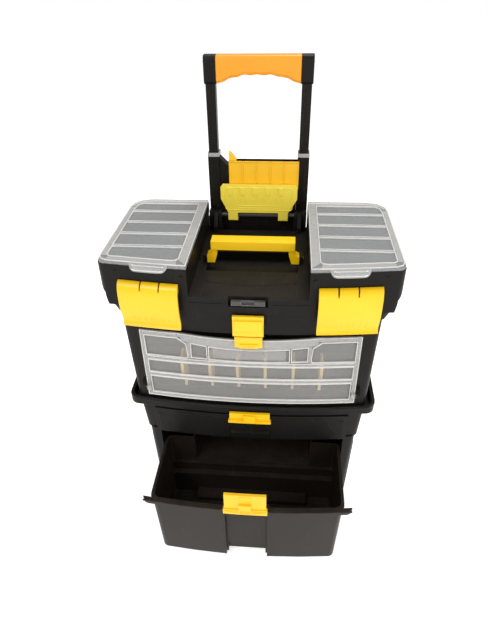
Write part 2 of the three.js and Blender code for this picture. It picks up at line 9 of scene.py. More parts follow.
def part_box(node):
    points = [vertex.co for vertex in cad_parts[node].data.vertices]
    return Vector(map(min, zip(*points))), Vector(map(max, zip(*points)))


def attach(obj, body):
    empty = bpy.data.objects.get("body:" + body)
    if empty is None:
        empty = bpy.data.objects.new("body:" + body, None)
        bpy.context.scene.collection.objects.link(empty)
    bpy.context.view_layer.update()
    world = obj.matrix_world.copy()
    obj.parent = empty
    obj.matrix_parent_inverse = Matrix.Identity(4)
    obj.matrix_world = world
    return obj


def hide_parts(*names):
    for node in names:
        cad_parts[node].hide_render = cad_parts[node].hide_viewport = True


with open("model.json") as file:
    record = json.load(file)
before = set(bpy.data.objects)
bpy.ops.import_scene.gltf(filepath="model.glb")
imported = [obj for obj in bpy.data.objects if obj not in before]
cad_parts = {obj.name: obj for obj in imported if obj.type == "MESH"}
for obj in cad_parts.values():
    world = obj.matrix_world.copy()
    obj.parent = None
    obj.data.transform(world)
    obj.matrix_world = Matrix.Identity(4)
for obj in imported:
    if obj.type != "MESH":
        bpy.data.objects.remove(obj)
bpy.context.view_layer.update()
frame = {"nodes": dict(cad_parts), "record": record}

# ---------------------------------------------------------------- camera
# A hand-held camera in front of the box at head height. It looks down at the box and is
# turned a little to the left.

camera_data = bpy.data.cameras.new("camera")
camera_data.sensor_width = 36
camera_data.lens = 29.34
camera = bpy.data.objects.new("camera", camera_data)
bpy.context.scene.collection.objects.link(camera)
turn = Matrix.Rotation(math.radians(5.27), 4, "Z")
tilt = Matrix.Rotation(math.radians(90 - 35.24), 4, "X")
roll = Matrix.Rotation(math.radians(-1.12), 4, "Z")
camera.matrix_world = Matrix.Translation((0.0518, -0.7106, 0.9044)) @ turn @ tilt @ roll
bpy.context.scene.camera = camera

# ---------------------------------------------------------------- floor and light
# A plain white floor in an even surround. A large soft lamp stands over the front left,
# and weaker ones open up the right side, the front of the drawer and the top.

bpy.context.scene.view_settings.view_transform = "Standard"

floor_material = bpy.data.materials.new("white_floor")
floor_material.use_nodes = True
floor_shader = floor_material.node_tree.nodes["Principled BSDF"]
floor_shader.inputs["Base Color"].default_value = (0.92, 0.92, 0.915, 1)
floor_shader.inputs["Roughness"].default_value = 0.8
floor_shader.inputs["Specular IOR Level"].default_value = 0.1
floor_shader.inputs["Emission Color"].default_value = (1, 1, 1, 1)
floor_shader.inputs["Emission Strength"].default_value = 0.62
floor_mesh = bpy.data.meshes.new("floor")
floor_mesh.from_pydata([(-60, -60, 0), (60, -60, 0), (60, 60, 0), (-60, 60, 0)], [], [(0, 1, 2, 3)])
floor_mesh.materials.append(floor_material)
floor = bpy.data.objects.new("floor", floor_mesh)
bpy.context.scene.collection.objects.link(floor)

world = bpy.data.worlds.new("surround")
world.use_nodes = True
world.node_tree.nodes["Background"].inputs["Color"].default_value = (1.0, 1.0, 1.0, 1)
world.node_tree.nodes["Background"].inputs["Strength"].default_value = 0.42
bpy.context.scene.world = world


def soft_lamp(name, place, aim, size, power, colour=(1, 1, 1)):
    data = bpy.data.lights.new(name, "AREA")
    data.size = size
    data.energy = power
    data.color = colour
    lamp = bpy.data.objects.new(name, data)
    lamp.location = place
    lamp.rotation_euler = (Vector(aim) - Vector(place)).to_track_quat("-Z", "Y").to_euler()
    bpy.context.scene.collection.objects.link(lamp)


soft_lamp("key_lamp", (-1.0, -1.7, 2.3), (0, 0, 0.35), 1.0, 27, (1.0, 0.985, 0.96))
soft_lamp("side_lamp", (1.9, -0.9, 1.5), (0, 0, 0.4), 1.2, 16)
soft_lamp("top_lamp", (0.2, 0.9, 2.5), (0, 0.05, 0.5), 0.9, 26, (1.0, 0.96, 0.90))
soft_lamp("front_lamp", (0.5, -2.4, 0.9), (0, -0.1, 0.2), 1.0, 9, (1.0, 0.90, 0.78))

# ---------------------------------------------------------------- base shell
# The base is one black polypropylene moulding with a fine spark-eroded texture. It has a
# shallow bay over a deep one for the drawers, and a well for each wheel at the back.

body_of = {
    node: body for body, nodes in frame["record"]["behaviour"]["bodies"].items() for node in nodes
}


def mm(x, y, z):
    return Vector((x, y, z)) * 0.001


def reach(node):
    """Lowest and highest corner of a CAD node in millimetres."""
    low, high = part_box(node)
    return low * 1000, high * 1000


def new_group(name, inputs, outputs):
    group = bpy.data.node_groups.new(name, "ShaderNodeTree")
    for label, value in inputs:
        socket = group.interface.new_socket(label, in_out="INPUT", socket_type="NodeSocketFloat")
        socket.default_value = value
    for label in outputs:
        group.interface.new_socket(label, in_out="OUTPUT", socket_type="NodeSocketFloat")
    return group, group.nodes.new("NodeGroupInput"), group.nodes.new("NodeGroupOutput")


def noise(tree, vector, scale, detail=4, roughness=0.5):
    node = tree.nodes.new("ShaderNodeTexNoise")
    node.inputs["Detail"].default_value = detail
    node.inputs["Roughness"].default_value = roughness
    if isinstance(scale, (int, float)):
        node.inputs["Scale"].default_value = scale
    else:
        tree.links.new(scale, node.inputs["Scale"])
    tree.links.new(vector, node.inputs["Vector"])
    return node.outputs["Fac"]


def map_range(tree, value, low, high, to_low, to_high):
    node = tree.nodes.new("ShaderNodeMapRange")
    for label, number in (("From Min", low), ("From Max", high), ("To Min", to_low), ("To Max", to_high)):
        node.inputs[label].default_value = number
    tree.links.new(value, node.inputs["Value"])
    return node.outputs["Result"]


def maths(tree, kind, a, b):
    node = tree.nodes.new("ShaderNodeMath")
    node.operation = kind
    for socket, value in zip(node.inputs, (a, b)):
        if isinstance(value, (int, float)):
            socket.default_value = value
        else:
            tree.links.new(value, socket)
    return node.outputs[0]


# moulded surface: fine grain, slow mottling, long faint rubs, and a sink-mark waviness
grain_group, grain_in, grain_out = new_group(
    "moulding_grain", [("Grain Scale", 1400.0)], ["Height", "Mottle", "Rubs"])
grain_place = grain_group.nodes.new("ShaderNodeTexCoord").outputs["Object"]
grain_fine = noise(grain_group, grain_place, grain_in.outputs["Grain Scale"], 3, 0.6)
grain_wave = noise(grain_group, grain_place, 22.0, 2, 0.4)
grain_mottle = noise(grain_group, grain_place, 9.0, 5, 0.6)
stretch = grain_group.nodes.new("ShaderNodeMapping")
stretch.inputs["Scale"].default_value = (260, 34, 20)
stretch.inputs["Rotation"].default_value = (0.3, 0.5, 0.4)
grain_group.links.new(grain_place, stretch.inputs["Vector"])
grain_rubs = noise(grain_group, stretch.outputs["Vector"], 1.0, 6, 0.65)
grain_height = maths(grain_group, "ADD", grain_fine, maths(grain_group, "MULTIPLY", grain_wave, 2.5))
grain_group.links.new(grain_height, grain_out.inputs["Height"])
grain_group.links.new(map_range(grain_group, grain_mottle, 0.32, 0.7, 0, 1), grain_out.inputs["Mottle"])
grain_group.links.new(map_range(grain_group, grain_rubs, 0.6, 0.78, 0, 1), grain_out.inputs["Rubs"])

# dust that settles on faces that look up, broken into patches
dust_group, dust_in, dust_out = new_group("settled_dust", [("Amount", 0.3)], ["Mask"])
dust_split = dust_group.nodes.new("ShaderNodeSeparateXYZ")
dust_group.links.new(dust_group.nodes.new("ShaderNodeNewGeometry").outputs["Normal"], dust_split.inputs[0])
dust_up = map_range(dust_group, dust_split.outputs["Z"], 0.3, 1.0, 0, 1)
dust_place = dust_group.nodes.new("ShaderNodeTexCoord").outputs["Object"]
dust_patch = map_range(dust_group, noise(dust_group, dust_place, 34.0, 8, 0.7), 0.4, 0.75, 0.15, 1)
dust_mask = maths(dust_group, "MULTIPLY", dust_up, dust_patch)
dust_group.links.new(
    maths(dust_group, "MULTIPLY", dust_mask, dust_in.outputs["Amount"]), dust_out.inputs["Mask"])

# a lighter colour where two faces meet, found from how far the rounded normal leaves the true one: light
# wear on most finishes, a painted highlight on the lock bar's edges and partly on the deep drawer's ledges
wear_and_highlight_group, wear_and_highlight_in, wear_and_highlight_out = new_group("edge_wear_and_painted_highlight", [("Radius", 0.0012), ("Amount", 0.5)], ["Mask"])
wear_and_highlight_bevel = wear_and_highlight_group.nodes.new("ShaderNodeBevel")
wear_and_highlight_bevel.samples = 4
wear_and_highlight_group.links.new(wear_and_highlight_in.outputs["Radius"], wear_and_highlight_bevel.inputs["Radius"])
wear_and_highlight_dot = wear_and_highlight_group.nodes.new("ShaderNodeVectorMath")
wear_and_highlight_dot.operation = "DOT_PRODUCT"
wear_and_highlight_group.links.new(wear_and_highlight_bevel.outputs["Normal"], wear_and_highlight_dot.inputs[0])
wear_and_highlight_group.links.new(
    wear_and_highlight_group.nodes.new("ShaderNodeNewGeometry").outputs["Normal"], wear_and_highlight_dot.inputs[1])
wear_and_highlight_edge = map_range(wear_and_highlight_group, wear_and_highlight_dot.outputs["Value"], 0.995, 0.86, 0, 1)
wear_and_highlight_place = wear_and_highlight_group.nodes.new("ShaderNodeTexCoord").outputs["Object"]
wear_and_highlight_breaks = map_range(wear_and_highlight_group, noise(wear_and_highlight_group, wear_and_highlight_place, 60.0, 6, 0.7), 0.42, 0.62, 0.1, 1)
wear_and_highlight_mask = maths(wear_and_highlight_group, "MULTIPLY", wear_and_highlight_edge, wear_and_highlight_breaks)
wear_and_highlight_group.links.new(
    maths(wear_and_highlight_group, "MULTIPLY", wear_and_highlight_mask, wear_and_highlight_in.outputs["Amount"]), wear_and_highlight_out.inputs["Mask"])


def blend_colours(tree, mask, first, second):
    node = tree.nodes.new("ShaderNodeMix")
    node.data_type = "RGBA"
    for socket, value in ((node.inputs["A"], first), (node.inputs["B"], second)):
        if isinstance(value, tuple):
            socket.default_value = (*value, 1)
        else:
            tree.links.new(value, socket)
    tree.links.new(mask, node.inputs["Factor"])
    return node.outputs["Result"]


def place_group(tree, group, **values):
    node = tree.nodes.new("ShaderNodeGroup")
    node.node_tree = group
    for label, value in values.items():
        node.inputs[label.replace("_", " ")].default_value = value
    return node.outputs


def moulded(name, colour, mottled, wear_and_highlight_colour, rough, grain_scale=1400.0, grain_depth=0.12, dust=0.25, edge=0.5):
    """A moulded finish: mottled colour, rubs, lighter edges and dust, with the grain as bump. The edge
    colour is wear on most finishes and a painted highlight on some.
    """
    material = bpy.data.materials.new(name)
    material.use_nodes = True
    tree = material.node_tree
    shader = tree.nodes["Principled BSDF"]
    grain = place_group(tree, grain_group, Grain_Scale=grain_scale)
    dusting = place_group(tree, dust_group, Amount=dust)["Mask"]
    edge_wear_and_highlight = place_group(tree, wear_and_highlight_group, Amount=edge)["Mask"]
    base = blend_colours(tree, grain["Mottle"], colour, mottled)
    rubbed = blend_colours(tree, maths(tree, "MULTIPLY", grain["Rubs"], 0.5), base, wear_and_highlight_colour)
    edged = blend_colours(tree, edge_wear_and_highlight, rubbed, wear_and_highlight_colour)
    tree.links.new(blend_colours(tree, dusting, edged, (0.30, 0.27, 0.23)), shader.inputs["Base Color"])
    spread = map_range(tree, grain["Mottle"], 0, 1, rough - 0.05, rough + 0.07)
    polished = maths(tree, "SUBTRACT", spread, maths(tree, "MULTIPLY", edge_wear_and_highlight, 0.12))
    tree.links.new(maths(tree, "ADD", polished, dusting), shader.inputs["Roughness"])
    bump = tree.nodes.new("ShaderNodeBump")
    bump.inputs["Strength"].default_value = grain_depth
    bump.inputs["Distance"].default_value = 0.0004
    tree.links.new(grain["Height"], bump.inputs["Height"])
    tree.links.new(bump.outputs["Normal"], shader.inputs["Normal"])
    return material


def set_shader(material, label, value):
    material.node_tree.nodes["Principled BSDF"].inputs[label].default_value = value


black_plastic = moulded("black_polypropylene", (0.0070, 0.0062, 0.0054), (0.0105, 0.0090, 0.0076),
                        (0.042, 0.037, 0.032), 0.40, 1500.0, 0.16, 0.03, 0.55)
set_shader(black_plastic, "Specular IOR Level", 0.13)


def cad_copy(node):
    """The CAD piece's own shape as an editable mesh, with its flat faces made whole."""
    source = frame["nodes"][node]
    bm = bmesh.new()
    bm.from_mesh(source.data)
    bmesh.ops.remove_doubles(bm, verts=bm.verts, dist=2e-6)
    bmesh.ops.dissolve_limit(bm, angle_limit=math.radians(0.6), verts=bm.verts, edges=bm.edges)
    return bm


def finish_piece(name, bm, material, node, edge=0.9, segments=2, sharp=38):
    """Makes the object: rounded edges (in mm), smooth shading, material and body."""
    mesh = bpy.data.meshes.new(name)
    bmesh.ops.recalc_face_normals(bm, faces=bm.faces)
    bm.to_mesh(mesh)
    bm.free()
    mesh.shade_smooth()
    mesh.materials.append(material)
    piece = bpy.data.objects.new(name, mesh)
    bpy.context.scene.collection.objects.link(piece)
    if edge:
        rounding = piece.modifiers.new("rounded_edges", "BEVEL")
        rounding.width = edge * 0.001
        rounding.segments = segments
        rounding.limit_method = "ANGLE"
        rounding.angle_limit = math.radians(sharp)
        rounding.use_clamp_overlap = True
    normals = piece.modifiers.new("even_shading", "WEIGHTED_NORMAL")
    normals.keep_sharp = True
    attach(piece, body_of[node])
    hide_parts(node)
    return piece


def dress(node, material, edge=0.9, segments=2, sharp=38):
    """A finished piece in place of one CAD node, on the node's own shape."""
    return finish_piece(f"{node}_visual", cad_copy(node), material, node, edge, segments, sharp)


def along_x(y, z, x):
    return mm(x, y, z)


def along_y(x, z, y):
    return mm(x, y, z)


def join_rings(bm, rings, closed=False):
    """A skin over rings of vertices; an open row of rings gets a face at each end."""
    for a, b in zip(rings, rings[1:] + rings[:1] if closed else rings[1:]):
        for k in range(len(a)):
            m = (k + 1) % len(a)
            bm.faces.new((a[k], a[m], b[m], b[k]))
    if not closed:
        bm.faces.new(rings[0])
        bm.faces.new(list(reversed(rings[-1])))


def add_prism(bm, outline, low, high, place):
    """A closed prism: a flat outline of (a, b) points, carried from low to high by place(a, b, h)."""
    ends = [[bm.verts.new(place(a, b, h)) for a, b in outline] for h in (low, high)]
    bm.faces.new(ends[0])
    bm.faces.new(list(reversed(ends[1])))
    count = len(outline)
    for i in range(count):
        j = (i + 1) % count
        bm.faces.new((ends[0][j], ends[0][i], ends[1][i], ends[1][j]))


def add_block(bm, low, high):
    outline = [(low[0], low[1]), (high[0], low[1]), (high[0], high[1]), (low[0], high[1])]
    add_prism(bm, outline, low[2], high[2], mm)


def divided(points, longest=12.0, closed=True):
    """The same outline with its long stretches cut into shorter ones."""
    result = []
    count = len(points)
    for i in range(count if closed else count - 1):
        a, b = points[i], points[(i + 1) % count]
        parts = max(1, math.ceil(math.dist(a, b) / longest))
        for k in range(parts):
            t = k / parts
            result.append((a[0] + (b[0] - a[0]) * t, a[1] + (b[1] - a[1]) * t))
    if not closed:
        result.append(points[-1])
    return result


def add_bead(bm, points, width, low, high, place, closed=True, crown=0.72):
    """A raised bead along a line of (a, b) points on a surface; its top is narrower than its foot."""
    count = len(points)
    rings = []
    for i in range(count):
        before = points[i - 1] if closed or i else None
        after = points[(i + 1) % count] if closed or i < count - 1 else None
        ways = [Vector((b[0] - a[0], b[1] - a[1])).normalized()
                for a, b in ((before, points[i]), (points[i], after)) if a and b]
        way = sum(ways, Vector((0, 0))).normalized()
        across = Vector((-way.y, way.x))
        reach_out = width / 2 / max(0.5, across.dot(Vector((-ways[0].y, ways[0].x))))
        here = Vector(points[i])
        ring = []
        for factor, h in ((1, low), (-1, low), (-crown, high), (crown, high)):
            spot = here + across * reach_out * factor
            ring.append(bm.verts.new(place(spot.x, spot.y, h)))
        rings.append(ring)
    join_rings(bm, rings, closed)


def rounded_rectangle(x0, x1, y0, y1, radius, steps=4):
    points = []
    for cx, cy, start in ((x1 - radius, y1 - radius, 0), (x0 + radius, y1 - radius, 90),
                          (x0 + radius, y0 + radius, 180), (x1 - radius, y0 + radius, 270)):
        for k in range(steps + 1):
            angle = math.radians(start + 90 * k / steps)
            points.append((cx + radius * math.cos(angle), cy + radius * math.sin(angle)))
    return points


BOW = 0.00037  # set-back of a bowed front, in mm for each square mm from the middle


def bowed(face):
    """Places (x, z, height) on a front that bulges forward in the middle; height stands proud of it."""
    return lambda x, z, h: mm(x, face + BOW * x * x - h, z)


def base_side(side):
    """Places (y, z, height) on the tapered side of the base's lower tier."""
    return lambda y, z, h: mm(side * (185 * (0.96 + 0.04 * (z - 9) / 189) + h), y, z)


bm = cad_copy("base_shell")
for side in (-1, 1):
    add_bead(bm, divided(rounded_rectangle(-44, 74, 26, 182, 10), 30), 3, -1.5, 1.0, base_side(side))
    for y in (-14, 15, 44):
        add_bead(bm, [(y, 44), (y, 104), (y, 164)], 3, -1.5, 0.8, base_side(side), closed=False)
back = reach("base_rim")[1].y - 8.5
for z in (60, 90, 120, 150):
    add_prism(bm, [(-50, z - 2), (50, z - 2), (50, z + 2), (-50, z + 2)], back - 10, back - 1.6,
              along_y)
finish_piece("base_shell_visual", bm, black_plastic, "base_shell", 1.2)
dress("handle_crosspiece", black_plastic, 1.4, 3)

# ---------------------------------------------------------------- base rim
# A shallow tray with a rolled lip, moulded apart and snapped on to the top of the base. The
# tool box stands in it.


def bowed_outline(half, front, back, back_radius, front_radius, steps=5):
    """Plan of a moulding with a bowed front and rounded corners, as (x, y) points."""
    edge = half - front_radius
    points = []
    for i in range(17):
        x = -edge + 2 * edge * i / 16
        points.append((x, front + BOW * x * x))
    corner_y = front + BOW * edge * edge
    for cx, cy, radius, start in ((edge, corner_y + front_radius, front_radius, -90),
                                  (half - back_radius, back - back_radius, back_radius, 0),
                                  (-half + back_radius, back - back_radius, back_radius, 90),
                                  (-edge, corner_y + front_radius, front_radius, 180)):
        for k in range(1, steps + 1):
            angle = math.radians(start + 90 * k / steps)
            points.append((cx + radius * math.cos(angle), cy + radius * math.sin(angle)))
    return divided(points[:-1], 40)


bm = cad_copy("base_rim")
low, high = reach("base_rim")
around = bowed_outline(high.x - 1.2, low.y + 1.2, high.y - 1.2, 27, 19)
add_bead(bm, around, 5.0, high.z - 6.5, high.z - 1.2, mm, crown=0.8)
finish_piece("base_rim_visual", bm, black_plastic, "base_rim", 1.6, 3)

# ---------------------------------------------------------------- feet, axle and wheels
# Two rubber feet stand at the front. At the back a zinc-plated axle carries black hubs and
# rubber tyres with grooved treads, held by push-on steel caps.

rubber = moulded("tyre_rubber", (0.012, 0.012, 0.012), (0.02, 0.019, 0.018), (0.05, 0.047, 0.043), 0.72,
                 900.0, 0.25, 0.12, 0.3)
zinc = moulded("zinc_plate", (0.50, 0.50, 0.51), (0.42, 0.42, 0.44), (0.62, 0.62, 0.62), 0.34,
               2200.0, 0.05, 0.05, 0.2)
set_shader(zinc, "Metallic", 1.0)
TREAD_GROOVES = (-6.5, 0.0, 6.5)
TYRE_SEAT = 43.1
TYRE_STEPS = 72

for side in ("left", "right"):
    dress(f"front_foot_{side}", rubber, 2.0, 3)
    dress(f"wheel_hub_{side}", black_plastic, 0.8)
    dress(f"axle_cap_{side}", zinc, 1.5, 3)
    node = f"tyre_{side}"
    low, high = reach(node)
    middle = (low + high) / 2
    outer = (high.z - low.z) / 2
    half = (high.x - low.x) / 2
    profile = [(-half, TYRE_SEAT), (-half, outer - 7), (-half + 1, outer - 3.6), (-half + 2.6, outer - 1.2),
               (-half + 5, outer)]
    for groove in TREAD_GROOVES:
        profile += [(groove - 1.3, outer), (groove - 0.8, outer - 2.2), (groove + 0.8, outer - 2.2),
                    (groove + 1.3, outer)]
    profile += [(half - 5, outer), (half - 2.6, outer - 1.2), (half - 1, outer - 3.6), (half, outer - 7),
                (half, TYRE_SEAT)]
    bm = bmesh.new()
    rings = []
    for i in range(TYRE_STEPS):
        angle = 2 * math.pi * i / TYRE_STEPS
        rings.append([bm.verts.new(mm(middle.x + x, middle.y + r * math.cos(angle),
                                      middle.z + r * math.sin(angle))) for x, r in profile])
    join_rings(bm, rings, closed=True)
    finish_piece(f"{node}_visual", bm, rubber, node, 0.4, 1)
dress("axle", zinc, 0.6)

# ---------------------------------------------------------------- shallow upper drawer
# A shallow black tray that slides on side ledges. Its bowed front has a raised trapezium
# outline and a sloped finger notch in the lower edge.

bm = cad_copy("upper_drawer")
low, high = reach("upper_drawer")
front = bowed(low.y)
outline = divided([(-152, low.z + 4), (-126, high.z - 5), (126, high.z - 5), (152, low.z + 4)], closed=False)
add_bead(bm, outline, 2.2, -1, 1.1, front, closed=False)
notch = [(low.y + 1.2, low.z + 9), (low.y + 5.8, low.z + 31), (low.y + 7, low.z + 31),
         (low.y + 7, low.z + 9)]
add_prism(bm, notch, -34, 34, along_x)
finish_piece("upper_drawer_visual", bm, black_plastic, "upper_drawer", 0.9)

# ---------------------------------------------------------------- deep lower drawer
# The deep drawer is one black moulding with a rolled lip, ledges up its back wall, a low
# pad on its floor, and a channel down its front that ends in a finger notch.

# The deep drawer gets a lighter, warmer copy of the black: painted light for the light that falls on its
# front. Its lighter edge colour is partly wear and partly a painted highlight on the ledges up its back
# wall.
black_with_painted_light = moulded("black_polypropylene_with_painted_light", (0.0135, 0.0098, 0.0070), (0.019, 0.014, 0.010),
                     (0.075, 0.062, 0.050), 0.38, 1500.0, 0.16, 0.05, 0.55)
set_shader(black_with_painted_light, "Specular IOR Level", 0.22)
bm = cad_copy("lower_drawer")
low, high = reach("lower_drawer")
front = bowed(low.y)
lip = divided([(-174, high.z - 1.6), (-40, high.z - 1.6)], closed=False)
for side in (-1, 1):
    add_bead(bm, [(side * x, z) for x, z in lip], 2.6, -1.5, 0.7, front, closed=False)
finish_piece("lower_drawer_visual", bm, black_with_painted_light, "lower_drawer", 1.8, 4)

# ---------------------------------------------------------------- drawer latches
# Each drawer has a yellow acetal toggle latch: a plate hooked over the lip, and below the
# pivot a thumb bar with sloping wings and a centre block. The deep one has a square on its plate.

yellow_plastic = moulded("yellow_acetal", (0.96, 0.585, 0.004), (0.90, 0.53, 0.004), (0.97, 0.68, 0.05),
                         0.36, 1200.0, 0.07, 0.0, 0.35)
for node in ("upper_drawer_latch", "lower_drawer_latch"):
    bm = cad_copy(node)
    low, high = reach(node)
    face = bowed(low.y + 3.5)
    thumb = bowed(low.y + 2)
    block_face = bowed(low.y)
    pivot_z = high.z - (30 if node == "lower_drawer_latch" else 14)
    if node == "lower_drawer_latch":
        add_bead(bm, rounded_rectangle(-10, 10, pivot_z + 9, high.z - 5, 1.5), 1.2, -0.5, 0.7, face)
        upper_edge = divided([(-32, high.z - 1), (32, high.z - 1)], closed=False)
        add_bead(bm, upper_edge, 1.4, -0.5, 0.5, face, closed=False)
    thumb_low = low.z + 1.2
    for side in (-1, 1):
        wing = [(side * 34, thumb_low + 7.0), (side * 13, thumb_low + 3.0), (side * 13, thumb_low + 7.5)]
        add_bead(bm, wing, 1.0, -0.5, 0.8, thumb)
    for k in range(3):
        z = low.z + 5 + 2.8 * k
        add_bead(bm, [(-8.5, z), (8.5, z)], 1.1, -0.5, 0.6, block_face, closed=False)
    finish_piece(f"{node}_visual", bm, yellow_plastic, node, 0.8, 3)

# ---------------------------------------------------------------- handle posts and tubes
# Two square black posts stand behind the box in sockets of the base. Grey collars guide
# the inner tubes, which carry the grip.

grey_plastic = moulded("grey_nylon", (0.34, 0.34, 0.33), (0.40, 0.40, 0.39), (0.55, 0.55, 0.53), 0.42,
                       1500.0, 0.1, 0.05)
for side in ("left", "right"):
    for node, corner in ((f"lower_post_{side}", 1.6), (f"inner_tube_{side}", 1.8)):
        bm = cad_copy(node)
        low, high = reach(node)
        middle = (low + high) / 2
        for x in (middle.x - 3.5, middle.x + 3.5):
            add_block(bm, (x - 0.5, low.y - 0.35, low.z + 20), (x + 0.5, low.y + 0.6, high.z - 12))
        finish_piece(f"{node}_visual", bm, black_plastic, node, corner, 3)
    dress(f"post_collar_{side}", grey_plastic, 0.9)

# ---------------------------------------------------------------- grip and its end caps
# The grip is an orange polypropylene moulding with finger waves along its underside, held
# between two black caps with rounded tops.

orange_plastic = moulded("orange_polypropylene", (0.86, 0.325, 0.002), (0.80, 0.30, 0.002),
                         (0.95, 0.46, 0.03), 0.40, 1300.0, 0.09, 0.02, 0.35)
low, high = reach("grip")
half_x = high.x


def smooth_step(t):
    t = min(1.0, max(0.0, t))
    return t * t * (3 - 2 * t)


bm = bmesh.new()
rings = []
for i in range(97):
    x = -half_x + 2 * half_x * i / 96
    inward = half_x - abs(x)
    rise = 2.0 * smooth_step(inward / 10) + 6.0 * smooth_step((inward - 8) / 16)
    rise += 5.0 * smooth_step((inward - 20) / 28)
    wave = 1.2 * smooth_step((inward - 24) / 10) * (0.5 - 0.5 * math.cos(2 * math.pi * (x + 2.2) / 21))
    underside = low.z + rise - wave
    section = rounded_rectangle(low.y, high.y, underside, high.z, 6.5, 5)
    rings.append([bm.verts.new(mm(x, y, z)) for y, z in section])
join_rings(bm, rings)
finish_piece("grip_visual", bm, orange_plastic, "grip", 0)

for side in ("left", "right"):
    node = f"grip_cap_{side}"
    low, high = reach(node)
    bm = bmesh.new()
    cap_section = rounded_rectangle(low.y, high.y, low.z, high.z, 6.5, 5)
    seam_section = rounded_rectangle(low.y - 0.5, high.y + 0.5, high.z - 9.5, high.z - 8.3, 0.5, 2)
    add_prism(bm, cap_section, low.x, high.x, along_x)
    add_prism(bm, seam_section, low.x - 0.3, high.x + 0.3, along_x)
    finish_piece(f"{node}_visual", bm, black_plastic, node, 1.2, 3)

# ---------------------------------------------------------------- catch block
# An amber block on the crosspiece: five shallow bays between thin fins, a slot under each
# bay, and a small horn at one end. The hook plate leans against it.

amber_plastic = moulded("amber_polypropylene", (0.97, 0.56, 0.002), (0.93, 0.52, 0.002), (0.97, 0.64, 0.04),
                        0.38, 1300.0, 0.08, 0.0, 0.35)
low, high = reach("catch_block")
top = high.z - 14
bay = (high.x - low.x) / 5
bm = bmesh.new()
add_block(bm, (low.x, low.y + 1.8, low.z + 5), (high.x, high.y, top))
add_block(bm, (low.x, low.y, top - 2), (high.x, high.y, top))
add_block(bm, (low.x, low.y, low.z + 8), (high.x, low.y + 6, low.z + 11))
for i in range(6):
    x = low.x + i * bay
    x0, x1 = max(low.x, x - 1.1), min(high.x, x + 1.1)
    add_block(bm, (x0, low.y, low.z + 2), (x1, low.y + 4, top))
    add_block(bm, (max(low.x, x - 5), low.y, low.z), (min(high.x, x + 5), high.y, low.z + 8.5))
add_block(bm, (low.x, low.y + 1, low.z), (high.x, high.y, low.z + 4))
horn = [(low.x, top - 2), (low.x + 14, top - 2), (low.x + 9, top + 6), (low.x + 2, top + 14),
        (low.x, top + 14)]
add_prism(bm, horn, low.y + 3, high.y, along_y)
finish_piece("catch_block_visual", bm, amber_plastic, "catch_block", 0.7)

# ---------------------------------------------------------------- tool box body
# The box is a black moulding with tapered sides, an open bay across its front for the
# small-parts organiser, and ears at the back that hold a dark nylon hinge rod.


def box_side(side):
    """Places (y, z, height) on the tapered side of the box."""
    return lambda y, z, h: mm(side * (200 * (0.968 + 0.032 * (z - 270) / 203) + h), y, z)


bm = cad_copy("box_body")
for side in (-1, 1):
    add_bead(bm, divided(rounded_rectangle(-38, 128, 296, 438, 10), 30), 3, -1.5, 0.9, box_side(side))
    add_bead(bm, [(-10, 330), (100, 330)], 3, -1.5, 0.7, box_side(side), closed=False)
    add_bead(bm, [(-10, 405), (100, 405)], 3, -1.5, 0.7, box_side(side), closed=False)
finish_piece("box_body_visual", bm, black_plastic, "box_body", 1.3, 3)
rod_plastic = moulded("dark_nylon", (0.045, 0.044, 0.042), (0.06, 0.058, 0.055), (0.12, 0.12, 0.115), 0.32,
                      1800.0, 0.08, 0.02, 0.4)
dress("lid_hinge_rod", rod_plastic, 0.6)

# ---------------------------------------------------------------- front organiser tray
# A black tray with one shelf fills the bay, and six thin cream dividers stand in slots
# on its floor. Each has a flange along its front edge.

cream_plastic = moulded("cream_polystyrene", (0.80, 0.60, 0.26), (0.74, 0.54, 0.22), (0.85, 0.72, 0.42),
                        0.45, 1000.0, 0.06, 0.0, 0.2)
dress("front_organiser_tray", black_plastic, 0.6)
for number in range(1, 7):
    node = f"organiser_divider_{number}"
    low, high = reach(node)
    x = (low.x + high.x) / 2
    side_view = [(low.y, low.z), (high.y, low.z), (high.y, high.z), (-51, high.z), (-65, high.z - 4),
                 (-65, 334), (-59.5, 331.5), (-54.0, 327.0), (-50.0, 320.0), (low.y, 312)]
    bm = bmesh.new()
    add_prism(bm, side_view, x - 1.0, x + 1.0, along_x)
    add_block(bm, (x - 2.4, -66, 334), (x + 2.4, -64.4, high.z - 3))
    add_block(bm, (x - 2.4, low.y - 0.6, low.z), (x + 2.4, low.y + 1, 312))
    finish_piece(f"{node}_visual", bm, cream_plastic, node, 0.4)

# ---------------------------------------------------------------- front organiser cover
# One clear moulding, milky from its texture: a thin bowed sheet with a raised frame, two
# long ribs, and raised outlines round its windows. It swings down on two moulded pins, and a
# yellow clip sits on its upper edge.


def frosted(name, colour, mottled, alpha, rough):
    """Clear moulded plastic with a milky texture, thin enough to see through in part."""
    material = moulded(name, colour, mottled, mottled, rough, 700.0, 0.05, 0.0, 0.0)
    set_shader(material, "Alpha", alpha)
    return material


clear_sheet = frosted("clear_polypropylene_sheet", (0.60, 0.595, 0.585), (0.64, 0.635, 0.625), 0.20, 0.25)
clear_frame = frosted("clear_polypropylene_frame", (0.66, 0.655, 0.64), (0.70, 0.695, 0.68), 0.30, 0.28)
# The raised beads are drawn much lighter and more solid than the sheet: painted highlights along their
# edges.
clear_bead_painted_highlight = frosted("clear_polypropylene_bead_painted_highlight", (0.86, 0.86, 0.85), (0.92, 0.92, 0.91), 0.85, 0.25)

low, high = reach("front_organiser_cover")
face = low.y
surface = bowed(face)
COVER_HALF = 172.0
COVER_BORDER = 7.0
PIN_Y = -69.5
PIN_Z = 311.0
COVER_LOW = low.z
COVER_TOP = high.z


def cover_top(x):
    """Height of the cover's upper edge: high at the corners, lower across the middle."""
    return COVER_TOP - 0.6 - 6.4 * max(0.0, 1 - (abs(x) / 108) ** 2)


